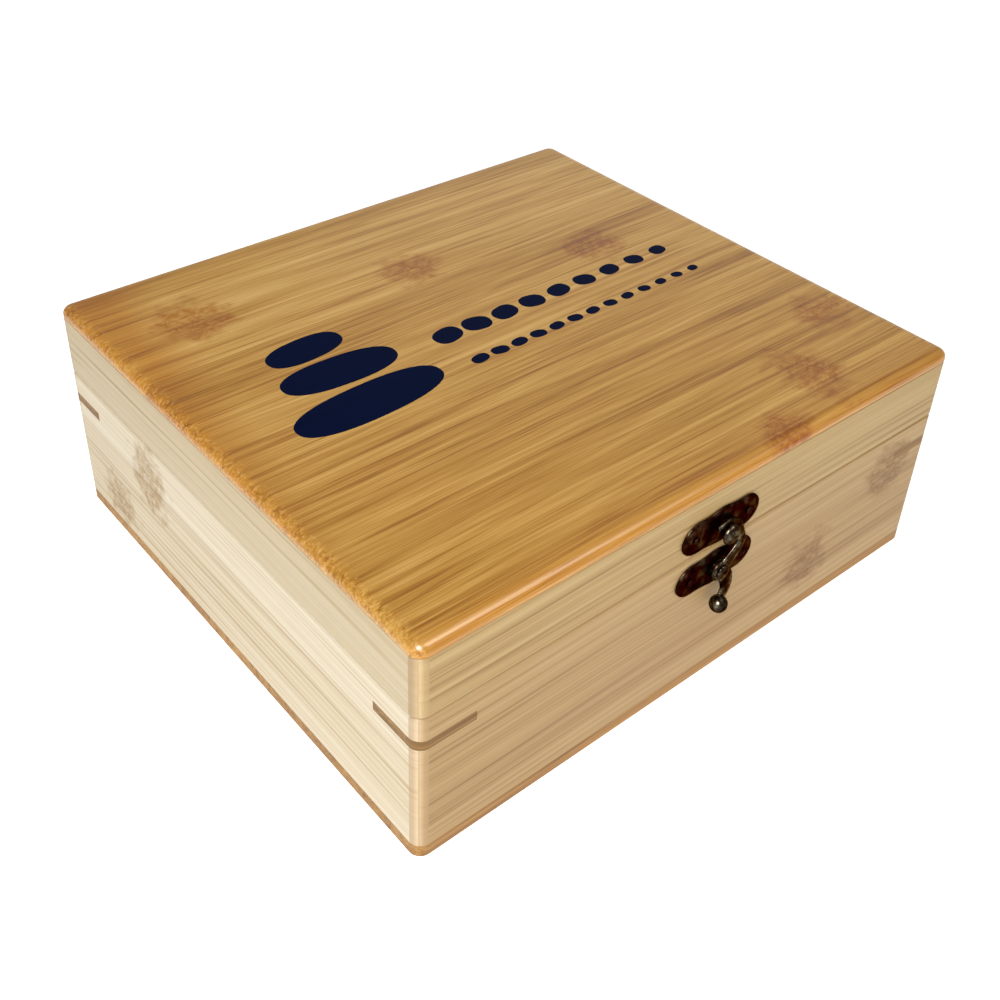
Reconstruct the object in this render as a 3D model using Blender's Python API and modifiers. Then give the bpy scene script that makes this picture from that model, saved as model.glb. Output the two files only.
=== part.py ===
"""Hinged bamboo case holding a graded set of basalt massage stones.

Run with: blender --background --python part.py
Metres, +Z up. The origin is the centre of the case's underside, the front with its latch faces -Y,
and the lid turns up about the hinge pins behind the back wall.
"""

import math

import bmesh
import bpy
from mathutils import Matrix, Vector

# ---- Driving dimensions, metres -------------------------------------------------------------------------

case_width = 0.220            # outside, along X
case_depth = 0.199            # outside, along Y
case_height = 0.0815          # outside, along Z
lid_height = 0.0258           # closed lid, top panel included
wall = 0.011                  # thickness of the mitred boards
top_panel_thickness = 0.0042
bottom_panel_thickness = 0.0045
corner_radius = 0.004         # upright corners
panel_roundover = 0.0024      # upper edge of the top panel
arris = 0.0007                # eased edge along the seam
foot_chamfer = 0.0005         # lower edge of the bottom panel

key_thickness = 0.0034        # corner keys
key_cover = 0.0018            # wood left between a key and the inside of its corner
key_below_seam = 0.0098       # seam to the middle of a key

hinge_from_centre = 0.066     # middle of each hinge, along X
hinge_length = 0.026
hinge_leaf_height = 0.0125    # from the pin's axis
hinge_leaf_thickness = 0.0009
hinge_barrel_radius = 0.0020
hinge_pin_radius = 0.0010
hinge_middle_knuckle = 0.0104
hinge_nail_from_middle = 0.0080
hinge_nail_from_axis = 0.0080

latch_plate_length = 0.0330
latch_plate_thickness = 0.0008
latch_plate_middle = 0.0066   # half height at the middle lobe
latch_plate_waist = 0.0058    # half height between the lobes
latch_plate_waist_from_end = 0.0100
latch_nail_from_middle = 0.0112
lid_plate_above_seam = 0.0081
base_plate_below_seam = 0.0082
knob_below_middle = 0.0010    # of the lid's plate
knob_head_radius = 0.0030
knob_head_height = 0.0024
knob_post_radius = 0.0015
hook_thickness = 0.0014
hook_boss_radius = 0.0036
hook_ball_radius = 0.0025
hook_mouth_clearance = 0.0005 # between the post and the hook's curl
rivet_shank_radius = 0.0012
rivet_head_radius = 0.0024
rivet_head_height = 0.0010
running_clearance = 0.00005   # radial, round a pin that a piece turns on

nail_head_radius = 0.0013
nail_head_height = 0.0005
nail_shank_radius = 0.0006
nail_depth = 0.0060           # length in the wood
fixing_depth = 0.0080         # of the knob's and the rivet's shanks in the wood

liner_top = 0.0380            # height of the foam liner's top face
liner_clearance = 0.0005      # round the liner's sides
pocket_clearance = 0.0006     # round a stone in its pocket
stone_rise = 0.0005           # of a stone's widest section above the liner's top

stone_rib = 0.0060            # foam between neighbouring stones of a row

# Rows of stones from the back wall to the front: how many, a stone's width over its length, and its thickness.
stone_rows = [
    (3, 0.78, 0.0240),
    (4, 0.83, 0.0190),
    (5, 0.84, 0.0150),
    (6, 0.84, 0.0120),
]

gap = 0.0003                  # between pieces that touch
overrun = 0.0020              # of a cutter past the face it cuts

# ---- Sizes that follow ----------------------------------------------------------------------------------

seam = case_height - lid_height
top_panel_base = case_height - top_panel_thickness
front = -case_depth / 2
back = case_depth / 2
inner_width = case_width - 2 * wall
inner_depth = case_depth - 2 * wall
key_leg = 2 * wall - math.sqrt(2) * key_cover                   # length of a key seen on each face
hinge_axis_y = back + gap + hinge_barrel_radius

plate_offset = gap + latch_plate_thickness / 2                  # from the front face to mid plate
nail_seat = 2 * gap + latch_plate_thickness                     # front face to under a nail's head
hook_back = nail_seat + nail_head_height + gap                  # front face to the hook's back
hook_front = hook_back + hook_thickness
head_seat = hook_front + gap                                    # front face to under the knob's head
lid_plate_z = seam + lid_plate_above_seam
base_plate_z = seam - base_plate_below_seam
knob_z = lid_plate_z - knob_below_middle
knob_above_pivot = knob_z - base_plate_z

# ---- Scene, materials and helpers -----------------------------------------------------------------------

for old in list(bpy.data.objects):
    bpy.data.objects.remove(old, do_unlink=True)

parts = bpy.data.collections.new("massage_stone_case")
cutters = bpy.data.collections.new("cutters")
for collection in (parts, cutters):
    bpy.context.scene.collection.children.link(collection)


def material(name, colour, roughness, metallic=0.0):
    """A Principled material with one colour, roughness and metallic value."""
    made = bpy.data.materials.new(name)
    made.use_nodes = True
    shader = made.node_tree.nodes["Principled BSDF"]
    shader.inputs["Base Color"].default_value = (*colour, 1.0)
    shader.inputs["Roughness"].default_value = roughness
    shader.inputs["Metallic"].default_value = metallic
    made.diffuse_color = (*colour, 1.0)
    return made


panel_bamboo = material("panel_bamboo", (0.60, 0.30, 0.09), 0.35)
wall_bamboo = material("wall_bamboo", (0.66, 0.48, 0.27), 0.50)
dark_bamboo = material("dark_bamboo", (0.24, 0.13, 0.06), 0.55)
bronze = material("antique_bronze", (0.09, 0.05, 0.03), 0.38, 1.0)
foam = material("liner_foam", (0.02, 0.02, 0.02), 0.90)
basalt = material("basalt", (0.035, 0.037, 0.040), 0.45)


def put(obj, collection):
    """Move an object into one collection only."""
    for holder in list(obj.users_collection):
        holder.objects.unlink(obj)
    collection.objects.link(obj)


def as_part(obj, look):
    """Make an object one of the model's pieces, with its material."""
    put(obj, parts)
    obj.data.materials.clear()
    obj.data.materials.append(look)
    return obj


def as_cutter(obj):
    """Hide an object that only cuts others."""
    put(obj, cutters)
    obj.hide_render = True
    obj.display_type = 'WIRE'
    return obj


def boolean(obj, other, operation):
    """Add an exact Boolean modifier."""
    step = obj.modifiers.new(operation.lower() + "_" + other.name, 'BOOLEAN')
    step.operation = operation
    step.solver = 'EXACT'
    step.object = other


def mesh_object(name, bm):
    """An object that holds a bmesh's geometry."""
    mesh = bpy.data.meshes.new(name)
    bm.to_mesh(mesh)
    bm.free()
    obj = bpy.data.objects.new(name, mesh)
    bpy.context.scene.collection.objects.link(obj)
    return obj


def box(name, low, high):
    """A box between two corners."""
    bm = bmesh.new()
    bmesh.ops.create_cube(bm, size=1.0)
    low, high = Vector(low), Vector(high)
    bmesh.ops.scale(bm, vec=high - low, verts=bm.verts)
    obj = mesh_object(name, bm)
    obj.location = (low + high) / 2
    return obj


def block(name, z_low, z_high, top_round=0.0, foot_round=0.0, segments=1):
    """The case's outline between two heights: round upright corners, and an eased upper or lower edge."""
    bm = bmesh.new()
    bmesh.ops.create_cube(bm, size=1.0)
    bmesh.ops.scale(bm, vec=(case_width, case_depth, z_high - z_low), verts=bm.verts)
    upright = [e for e in bm.edges if abs(e.verts[0].co.z - e.verts[1].co.z) > (z_high - z_low) / 2]
    bmesh.ops.bevel(bm, geom=upright, offset=corner_radius, segments=5, profile=0.5, affect='EDGES')
    for radius, sign in ((top_round, 1), (foot_round, -1)):
        if radius > 0:
            level = sign * (z_high - z_low) / 2
            rim = [e for e in bm.edges if all(abs(v.co.z - level) < 1e-6 for v in e.verts)]
            bmesh.ops.bevel(bm, geom=rim, offset=radius, segments=segments, profile=0.5, affect='EDGES')
    obj = mesh_object(name, bm)
    obj.location.z = (z_low + z_high) / 2
    return obj


def plate(name, outline, thickness):
    """A flat outline in XY, given as points in order, filled and extruded to its thickness about Z = 0."""
    curve = bpy.data.curves.new(name, 'CURVE')
    curve.dimensions = '2D'
    curve.fill_mode = 'BOTH'
    curve.extrude = thickness / 2
    spline = curve.splines.new('POLY')
    spline.points.add(len(outline) - 1)
    for point, (x, y) in zip(spline.points, outline):
        point.co = (x, y, 0.0, 1.0)
    spline.use_cyclic_u = True
    drawn = bpy.data.objects.new(name, curve)
    bpy.context.scene.collection.objects.link(drawn)
    bpy.context.view_layer.update()
    flat = bpy.data.meshes.new_from_object(drawn.evaluated_get(bpy.context.evaluated_depsgraph_get()))
    bpy.data.objects.remove(drawn, do_unlink=True)
    bm = bmesh.new()
    bm.from_mesh(flat)
    bpy.data.meshes.remove(flat)
    bmesh.ops.remove_doubles(bm, verts=bm.verts, dist=0.00001)
    bmesh.ops.recalc_face_normals(bm, faces=bm.faces)
    return mesh_object(name, bm)


def cylinder(name, radius, length, centre, axis, sides=24):
    """A cylinder about a centre, along the X or the Y axis."""
    bm = bmesh.new()
    bmesh.ops.create_cone(bm, cap_ends=True, segments=sides, radius1=radius, radius2=radius, depth=length)
    turn = Matrix.Rotation(math.pi / 2, 3, 'Y' if axis == 'X' else 'X')
    bmesh.ops.rotate(bm, matrix=turn, verts=bm.verts)
    obj = mesh_object(name, bm)
    obj.location = centre
    return obj


def turned(name, profile, steps):
    """A turned piece: (radius, height) points from the top of its axis down its outer side, spun about Z."""
    bm = bmesh.new()
    line = [bm.verts.new((radius, 0.0, height)) for radius, height in profile]
    for upper, lower in zip(line, line[1:]):
        bm.edges.new((upper, lower))
    obj = mesh_object(name, bm)
    spin = obj.modifiers.new("turn", 'SCREW')
    spin.steps = steps
    spin.render_steps = steps
    spin.use_merge_vertices = True
    spin.merge_threshold = 0.00001
    return obj


def dome(radius, height, base, steps=3):
    """Profile points of a domed head from its crown out to its rim, with its flat underside at base."""
    turns = [math.pi / 2 * i / steps for i in range(steps + 1)]
    return [(radius * math.sin(t), base + height * math.cos(t)) for t in turns]


def facing(obj, x, face_y, z):
    """Stand a turned or flat piece on a wall: its +Z points out of the front face or of the back face."""
    obj.location = (x, face_y, z)
    obj.rotation_euler.x = math.pi / 2 if face_y < 0 else -math.pi / 2
    return obj


def nail(name, x, face_y, z, seat):
    """A small nail with a domed head, its head's underside at seat above the wall's face."""
    profile = dome(nail_head_radius, nail_head_height, seat)
    profile += [(nail_shank_radius, seat), (nail_shank_radius, -nail_depth), (0.0, -nail_depth)]
    return facing(as_part(turned(name, profile, 12), bronze), x, face_y, z)


def bore(obj, x, face_y, z, radius, depth):
    """A blind hole into a wall, or through what lies on it, at a fixing's place."""
    reach = depth + gap + overrun
    outward = math.copysign(1.0, face_y)
    centre = (x, face_y + outward * (reach / 2 - depth - gap), z)
    cutter = as_cutter(cylinder(f"bore_{obj.name}_{len(obj.modifiers)}", radius + gap, reach, centre, 'Y', 16))
    boolean(obj, cutter, 'DIFFERENCE')


# ---- Case: panels, mitred walls and corner keys ---------------------------------------------------------

top_panel = as_part(block("lid_top_panel", top_panel_base, case_height, panel_roundover, 0.0, 3), panel_bamboo)
bottom_panel = as_part(block("base_bottom_panel", 0.0, bottom_panel_thickness, 0.0, foot_chamfer), dark_bamboo)


def mitre_wedge(side, z_low, z_high):
    """The room that one wall has between the two mitre planes at its ends."""
    along, across = (case_width, case_depth) if side in ("front", "back") else (case_depth, case_width)
    turn = {"front": 0.0, "right": 90.0, "back": 180.0, "left": 270.0}[side]
    half = along / 2 - gap / math.sqrt(2)
    outer = across / 2 + overrun
    inner = across / 2 - wall - overrun
    outline = [
        (-half - overrun, -outer),
        (half + overrun, -outer),
        (half - wall - overrun, -inner),
        (-half + wall + overrun, -inner),
    ]
    wedge = plate(f"mitre_{side}_{round(z_low * 1000)}", outline, z_high - z_low + 2 * overrun)
    wedge.location.z = (z_low + z_high) / 2
    wedge.rotation_euler.z = math.radians(turn)
    return as_cutter(wedge)


def storey(prefix, z_low, z_high, top_round, foot_round):
    """Four mitred walls between two heights, with the edge at the seam eased."""
    inside = as_cutter(box(
        f"inside_{prefix}",
        (-case_width / 2 + wall, front + wall, z_low - overrun),
        (case_width / 2 - wall, back - wall, z_high + overrun),
    ))
    walls = {}
    for side in ("front", "right", "back", "left"):
        piece = as_part(block(f"{prefix}_{side}_wall", z_low, z_high, top_round, foot_round), wall_bamboo)
        boolean(piece, inside, 'DIFFERENCE')
        boolean(piece, mitre_wedge(side, z_low, z_high), 'INTERSECT')
        walls[side] = piece
    return walls


base_walls = storey("base", bottom_panel_thickness + gap, seam - gap / 2, arris, 0.0)
lid_walls = storey("lid", seam + gap / 2, top_panel_base - gap, 0.0, arris)


def key_prism(name, sign_x, sign_y, leg, thickness):
    """A flat right-angled triangle across one corner of the case, its legs along the two faces."""
    corner = Vector((sign_x * case_width / 2, sign_y * case_depth / 2))
    out_x, out_y = sign_x * overrun, sign_y * overrun
    outline = [
        (corner.x + out_x, corner.y + out_y),
        (corner.x - sign_x * leg - out_x, corner.y + out_y),
        (corner.x + out_x, corner.y - sign_y * leg - out_y),
    ]
    prism = plate(name, outline, thickness)
    prism.location.z = seam - key_below_seam
    return as_cutter(prism)


corners = {
    "front_left": (-1, -1),
    "front_right": (1, -1),
    "back_right": (1, 1),
    "back_left": (-1, 1),
}
for corner_name, (sign_x, sign_y) in corners.items():
    slot = key_prism(f"slot_{corner_name}", sign_x, sign_y, key_leg + 2 * gap, key_thickness + 2 * gap)
    for side in corner_name.split("_"):
        boolean(base_walls[side], slot, 'DIFFERENCE')
    key_z = seam - key_below_seam
    key = block(f"corner_key_{corner_name}", key_z - key_thickness / 2, key_z + key_thickness / 2)
    boolean(key, key_prism(f"shape_{corner_name}", sign_x, sign_y, key_leg, 2 * key_thickness), 'INTERSECT')
    as_part(key, dark_bamboo)

# ---- Hinges ---------------------------------------------------------------------------------------------

lid_axis = bpy.data.objects.new("lid_axis", None)
lid_axis.location = (0.0, hinge_axis_y, seam)
parts.objects.link(lid_axis)


def leaf(name, middle_x, upward, knuckles):
    """A hinge leaf: a plate on the wall, and knuckles, each a barrel joined to the plate by a short tab."""
    edge = hinge_barrel_radius + gap
    z_low, z_high = sorted((seam + upward * edge, seam + upward * hinge_leaf_height))
    y_low, y_high = back + gap, back + gap + hinge_leaf_thickness
    body = box(name, (middle_x - hinge_length / 2, y_low, z_low), (middle_x + hinge_length / 2, y_high, z_high))
    for number, (x_low, x_high) in enumerate(knuckles):
        tab_low, tab_high = sorted((seam, seam + upward * (edge + hinge_leaf_thickness)))
        tab = box(f"tab_{name}_{number}", (middle_x + x_low, y_low, tab_low), (middle_x + x_high, y_high, tab_high))
        centre = (middle_x + (x_low + x_high) / 2, hinge_axis_y, seam)
        barrel = cylinder(f"barrel_{name}_{number}", hinge_barrel_radius, x_high - x_low, centre, 'X')
        boolean(body, as_cutter(barrel), 'UNION')
        boolean(body, as_cutter(tab), 'UNION')
    bore_radius = (hinge_pin_radius + running_clearance) / math.cos(math.pi / 24)
    hole = cylinder(f"pin_hole_{name}", bore_radius, hinge_length + 2 * overrun, (middle_x, hinge_axis_y, seam), 'X')
    boolean(body, as_cutter(hole), 'DIFFERENCE')
    return as_part(body, bronze)


half_middle = hinge_middle_knuckle / 2
middle_knuckle = [(-half_middle, half_middle)]
outer_knuckles = [(-hinge_length / 2, -half_middle - gap), (half_middle + gap, hinge_length / 2)]
lid_pieces = []
for hand, middle_x in (("left", -hinge_from_centre), ("right", hinge_from_centre)):
    pin = cylinder(f"hinge_pin_{hand}", hinge_pin_radius, hinge_length, (middle_x, hinge_axis_y, seam), 'X')
    as_part(pin, bronze)
    for part_of, upward, knuckles, board in (
        ("lid", 1, middle_knuckle, lid_walls["back"]),
        ("base", -1, outer_knuckles, base_walls["back"]),
    ):
        hinge_leaf = leaf(f"hinge_{part_of}_leaf_{hand}", middle_x, upward, knuckles)
        fixings = []
        for number, sign in ((1, -1), (2, 1)):
            x = middle_x + sign * hinge_nail_from_middle
            z = seam + upward * hinge_nail_from_axis
            seat = 2 * gap + hinge_leaf_thickness
            fixings.append(nail(f"hinge_nail_{part_of}_{hand}_{number}", x, back, z, seat))
            bore(board, x, back, z, nail_shank_radius, nail_depth)
            bore(hinge_leaf, x, back, z, nail_shank_radius, nail_depth)
        if part_of == "lid":
            lid_pieces += [hinge_leaf, *fixings]

# ---- Latch ----------------------------------------------------------------------------------------------


def lobed_outline(count=28):
    """A long plate's outline: its half height swells at the middle and near both round ends.

    Half height = (mean + swell * cos(2 pi x / lobe pitch)) * sqrt(1 - (x / half length) ^ 4).
    """
    half_length = latch_plate_length / 2
    lobe_pitch = 2 * (half_length - latch_plate_waist_from_end)
    mean = (latch_plate_middle + latch_plate_waist) / 2
    swell = (latch_plate_middle - latch_plate_waist) / 2
    stations = [-half_length * math.cos(math.pi * i / count) for i in range(1, count)]
    heights = [
        (mean + swell * math.cos(2 * math.pi * x / lobe_pitch)) * math.sqrt(1 - (x / half_length) ** 4)
        for x in stations
    ]
    upper = list(zip(stations, heights))
    lower = [(x, -z) for x, z in reversed(upper)]
    return [(-half_length, 0.0), *upper, (half_length, 0.0), *lower]


def latch_plate(name, z):
    """A thin lobed plate on the front face."""
    flat = facing(as_part(plate(name, lobed_outline(), latch_plate_thickness), bronze), 0.0, front, z)
    flat.location.y = front - plate_offset
    return flat


lid_plate = latch_plate("latch_lid_plate", lid_plate_z)
base_plate = latch_plate("latch_base_plate", base_plate_z)

for part_of, flat, board, z in (
    ("lid", lid_plate, lid_walls["front"], lid_plate_z),
    ("base", base_plate, base_walls["front"], base_plate_z),
):
    for hand, sign in (("left", -1), ("right", 1)):
        x = sign * latch_nail_from_middle
        fixing = nail(f"latch_nail_{part_of}_{hand}", x, front, z, nail_seat)
        bore(board, x, front, z, nail_shank_radius, nail_depth)
        bore(flat, x, front, z, nail_shank_radius, nail_depth)
        if part_of == "lid":
            lid_pieces.append(fixing)

knob_profile = dome(knob_head_radius, knob_head_height * 0.7, head_seat + knob_head_height * 0.3, 4)
knob_profile += [
    (knob_head_radius * 0.75, head_seat),
    (knob_post_radius, head_seat),
    (knob_post_radius, nail_seat),
    (rivet_shank_radius, nail_seat),
    (rivet_shank_radius, -fixing_depth),
    (0.0, -fixing_depth),
]
knob = facing(as_part(turned("latch_knob", knob_profile, 20), bronze), 0.0, front, knob_z)
bore(lid_walls["front"], 0.0, front, knob_z, rivet_shank_radius, fixing_depth)
bore(lid_plate, 0.0, front, knob_z, rivet_shank_radius, fixing_depth)

rivet_profile = dome(rivet_head_radius, rivet_head_height, head_seat)
rivet_profile += [
    (rivet_shank_radius, head_seat),
    (rivet_shank_radius, -fixing_depth),
    (0.0, -fixing_depth),
]
rivet = facing(as_part(turned("latch_rivet", rivet_profile, 20), bronze), 0.0, front, base_plate_z)
bore(base_walls["front"], 0.0, front, base_plate_z, rivet_shank_radius, fixing_depth)
bore(base_plate, 0.0, front, base_plate_z, rivet_shank_radius, fixing_depth)

hook_axis = bpy.data.objects.new("hook_axis", None)
hook_axis.location = (0.0, front, base_plate_z)
parts.objects.link(hook_axis)


def arm_route():
    """The hook's arm as (x, z, half width) from the tip of its curl to the boss, about the pivot.

    The curl over the post keeps one distance from the pivot, so that it slides off the post as it turns.
    Below it the arm bows out to the right.
    """
    curl_half_width = 0.0013
    curl_radius = knob_above_pivot + knob_post_radius + hook_mouth_clearance + curl_half_width
    curl = [
        (curl_radius * math.sin(math.radians(turn)), curl_radius * math.cos(math.radians(turn)), half)
        for turn, half in ((-11.0, 0.0010), (-4.0, 0.0012), (3.0, curl_half_width))
    ]
    shoulder = knob_post_radius + hook_mouth_clearance + 0.0022
    return [
        *curl,
        (shoulder, knob_above_pivot + 0.0012, 0.0015),
        (shoulder + 0.0022, knob_above_pivot - 0.0034, 0.0017),
        (shoulder + 0.0032, knob_above_pivot - 0.0076, 0.0019),
        (0.0052, 0.0044, 0.0022),
        (0.0012, 0.0008, 0.0026),
    ]


def tail_route():
    """The hook's tail as (x, z, half width) from the boss, bowed to the right, to its ball."""
    return [
        (0.0012, -0.0008, 0.0022),
        (0.0036, -0.0048, 0.0019),
        (0.0043, -0.0086, 0.0015),
        (0.0029, -0.0116, 0.0013),
        (0.0003, -0.0128, 0.0012),
    ]


def smooth(points, steps):
    """Points along a Catmull-Rom curve through the given ones."""
    padded = [points[0], *points, points[-1]]
    line = []
    for before, start, end, after in zip(padded, padded[1:], padded[2:], padded[3:]):
        for step in range(steps):
            t = step / steps
            line.append(tuple(
                0.5 * (2 * b + (c - a) * t + (2 * a - 5 * b + 4 * c - d) * t ** 2
                       + (3 * b - a - 3 * c + d) * t ** 3)
                for a, b, c, d in zip(before, start, end, after)
            ))
    return [*line, points[-1]]


def ribbon(line):
    """The outline of a band about a middle line of (x, y, half width), with round ends."""
    left, right, heading = [], [], []
    for before, (x, y, half), after in zip([line[0], *line], line, [*line[1:], line[-1]]):
        along = Vector((after[0] - before[0], after[1] - before[1])).normalized()
        left.append((x - along.y * half, y + along.x * half))
        right.append((x + along.y * half, y - along.x * half))
        heading.append(math.atan2(along.y, along.x))

    def cap(point, facing_angle):
        turns = [facing_angle + math.radians(step) for step in (60, 30, 0, -30, -60)]
        return [(point[0] + point[2] * math.cos(t), point[1] + point[2] * math.sin(t)) for t in turns]

    return [*left, *cap(line[-1], heading[-1]), *reversed(right), *cap(line[0], heading[0] + math.pi)]


def hook_band(name, route):
    """A flat band with rounded edges along a route, at the hook's place on the front face."""
    band = facing(plate(name, ribbon(smooth(route, 3)), hook_thickness), 0.0, front, base_plate_z)
    band.location.y = front - (hook_back + hook_front) / 2
    rounded = band.modifiers.new("rounded_edges", 'BEVEL')
    rounded.width = hook_thickness * 0.25
    rounded.segments = 1
    rounded.limit_method = 'ANGLE'
    rounded.angle_limit = math.radians(60)
    return band


hook = as_part(hook_band("latch_hook", arm_route()), bronze)
boolean(hook, as_cutter(hook_band("hook_tail", tail_route())), 'UNION')
boss_depth = hook_front - nail_seat
boss_centre = (0.0, front - nail_seat - boss_depth / 2, base_plate_z)
boolean(hook, as_cutter(cylinder("hook_boss", hook_boss_radius, boss_depth, boss_centre, 'Y')), 'UNION')

tail_x, tail_z, _ = tail_route()[-1]
bpy.ops.mesh.primitive_uv_sphere_add(
    segments=14, ring_count=8, radius=hook_ball_radius,
    location=(tail_x, front - hook_back - hook_ball_radius, base_plate_z + tail_z),
)
tail_ball = bpy.context.active_object
tail_ball.name = "hook_tail_ball"
boolean(hook, as_cutter(tail_ball), 'UNION')

eye_radius = (rivet_shank_radius + running_clearance) / math.cos(math.pi / 24)
eye_centre = (0.0, front - hook_back, base_plate_z)
eye = as_cutter(cylinder("hook_eye", eye_radius, 4 * boss_depth, eye_centre, 'Y'))
boolean(hook, eye, 'DIFFERENCE')

# ---- Foam liner and stones ------------------------------------------------------------------------------

liner = as_part(box(
    "foam_liner",
    (-case_width / 2 + wall + liner_clearance, front + wall + liner_clearance, bottom_panel_thickness + gap),
    (case_width / 2 - wall - liner_clearance, back - wall - liner_clearance, liner_top),
), foam)


def pebble(name, half_sizes, centre):
    """A smooth flattened stone: a ball scaled to its half length, half width and half thickness."""
    bpy.ops.mesh.primitive_uv_sphere_add(segments=16, ring_count=8, radius=1.0, location=centre)
    obj = bpy.context.active_object
    obj.name = name
    obj.scale = half_sizes
    bpy.ops.object.transform_apply(location=False, rotation=False, scale=True)
    obj.data.shade_smooth()
    return obj


rows = []
for count, width_share, thickness in stone_rows:
    length = (inner_width - (count + 1) * stone_rib) / count
    rows.append((count, length, width_share * length, thickness))
row_gap = (inner_depth - sum(width for _, _, width, _ in rows)) / (len(rows) + 1)
row_y = inner_depth / 2
stone_number = 0
for count, length, width, thickness in rows:
    row_y -= row_gap + width / 2
    for place in range(count):
        stone_number += 1
        centre = ((place - (count - 1) / 2) * (length + stone_rib), row_y, liner_top + stone_rise)
        half_sizes = (length / 2, width / 2, thickness / 2)
        as_part(pebble(f"stone_{stone_number:02d}", half_sizes, centre), basalt)
        room = [half + pocket_clearance for half in half_sizes]
        boolean(liner, as_cutter(pebble(f"pocket_{stone_number:02d}", room, centre)), 'DIFFERENCE')
    row_y -= width / 2

# ---- Moving pieces and their cutters, each under the empty on its joint's axis -----------------------------

bpy.context.view_layer.update()
lid_pieces += [top_panel, *lid_walls.values(), lid_plate, knob]
for axis, pieces in ((lid_axis, lid_pieces), (hook_axis, [hook])):
    followers = set(pieces)
    for piece in pieces:
        followers.update(step.object for step in piece.modifiers if step.type == 'BOOLEAN')
    for follower in followers:
        follower.parent = axis
        follower.matrix_parent_inverse = axis.matrix_world.inverted()

for piece in parts.objects:
    if piece.type == 'MESH':
        piece.data.set_sharp_from_angle(angle=math.radians(35))
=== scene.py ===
"""A bamboo case of basalt massage stones with a swing-hook latch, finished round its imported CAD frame."""

import math

import bmesh
import bpy
import numpy as np
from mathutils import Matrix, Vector


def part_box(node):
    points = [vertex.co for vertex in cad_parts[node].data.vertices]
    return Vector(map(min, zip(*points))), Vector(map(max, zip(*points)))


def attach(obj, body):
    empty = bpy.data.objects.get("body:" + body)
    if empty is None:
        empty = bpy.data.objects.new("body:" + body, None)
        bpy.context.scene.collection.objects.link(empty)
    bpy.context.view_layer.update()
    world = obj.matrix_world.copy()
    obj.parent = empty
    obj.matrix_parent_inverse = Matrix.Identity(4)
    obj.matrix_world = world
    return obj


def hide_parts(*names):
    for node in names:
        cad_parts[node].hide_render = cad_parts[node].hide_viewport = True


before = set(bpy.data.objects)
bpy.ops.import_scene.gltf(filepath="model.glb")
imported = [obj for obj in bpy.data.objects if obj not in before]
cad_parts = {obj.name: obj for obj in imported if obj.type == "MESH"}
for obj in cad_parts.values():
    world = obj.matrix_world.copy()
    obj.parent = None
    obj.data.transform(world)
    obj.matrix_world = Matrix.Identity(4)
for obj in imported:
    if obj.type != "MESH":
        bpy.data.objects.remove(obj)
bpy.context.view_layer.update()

# ---- Mitred boards --------------------------------------------------------------------------------------
# Eight boards of pale natural bamboo, four round the base and four round the lid, mitred and glued. The front
# and right boards are darker and browner: painted shade.
# Lid and base are sawn from one glued-up case, so the grain runs on across the seam between them.

case_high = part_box("base_bottom_panel")[1]
half_width, half_depth = case_high.x, case_high.y
corner_radius = 0.0040
board_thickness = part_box("base_front_wall")[1].y + half_depth
seam = (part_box("base_front_wall")[1].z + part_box("lid_front_wall")[0].z) / 2
seam_opening = 0.00020        # between the closed lid and the base
seam_ease = 0.00085           # rounded edge on both sides of the seam
tight_joint = 0.00003         # glued joint between two boards
edge_support = 0.0005         # flat stretch kept beside a rounded edge
inner_ease = 0.0003           # rounded edges inside the case
board_overlap = 0.0002        # how far the boards reach into the panels' glue lines
wall_strip = 0.0255           # width of a bamboo strip in the boards
strip_start = 0.47            # where the case's middle lies across its strip, as a share of the width
grain_sway = 0.0024           # how far the grain wanders across a strip
knuckle_reach = 0.0135        # how far a knuckle's mark runs along the grain from its middle
varnish_and_shade_left, varnish_and_shade_front = 0.017, 0.012    # how far the deeper amber reaches in from the top's left and front edges: pooled varnish and painted shade
end_grain_depth = 0.0055      # how far the cut fibres show at the top's ends


def add_node(nodes, kind, values=None, **settings):
    """A shader node with its settings, and for each input a constant or the output that feeds it."""
    made = nodes.new(kind)
    for name, value in settings.items():
        setattr(made, name, value)
    for socket, value in (values or {}).items():
        if isinstance(value, bpy.types.NodeSocket):
            nodes.id_data.links.new(value, made.inputs[socket])
        else:
            made.inputs[socket].default_value = value
    return made


def worked_out(nodes, operation, *values):
    """The output of a Math node on constants or outputs."""
    return add_node(nodes, "ShaderNodeMath", dict(enumerate(values)), operation=operation).outputs[0]


def ramp(nodes, factor, *stops):
    """The colour that a ramp gives: each stop is a place from 0 to 1 and a colour."""
    made = add_node(nodes, "ShaderNodeValToRGB", {"Fac": factor})
    elements = made.color_ramp.elements
    while len(elements) < len(stops):
        elements.new(0.5)
    for element, (place, colour) in zip(elements, stops):
        element.position = place
        element.color = (*colour, 1.0)
    return made.outputs["Color"]


def grain(nodes, place, scales, detail, roughness=0.55, distortion=0.0):
    """Noise stretched by its own number of cells a metre along X, Y and Z."""
    stretched = add_node(nodes, "ShaderNodeVectorMath", {0: place, 1: scales}, operation="MULTIPLY")
    return add_node(nodes, "ShaderNodeTexNoise", {
        "Vector": stretched.outputs[0], "Scale": 1.0, "Detail": detail, "Roughness": roughness,
        "Distortion": distortion,
    }).outputs["Fac"]


def mixed(nodes, kind, factor, first, second):
    """Two colours put together by a Mix node."""
    made = add_node(nodes, "ShaderNodeMix", data_type="RGBA", blend_type=kind)
    for socket, value in ((0, factor), (6, first), (7, second)):
        if isinstance(value, bpy.types.NodeSocket):
            nodes.id_data.links.new(value, made.inputs[socket])
        else:
            made.inputs[socket].default_value = value if socket == 0 else (*value, 1.0)
    return made.outputs[2]


def mask(nodes, factor, start, end, first=0.0, last=1.0):
    """A grey that goes from first to last while the factor goes from start to end."""
    return ramp(nodes, factor, (start, (first,) * 3), (end, (last,) * 3))


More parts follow.
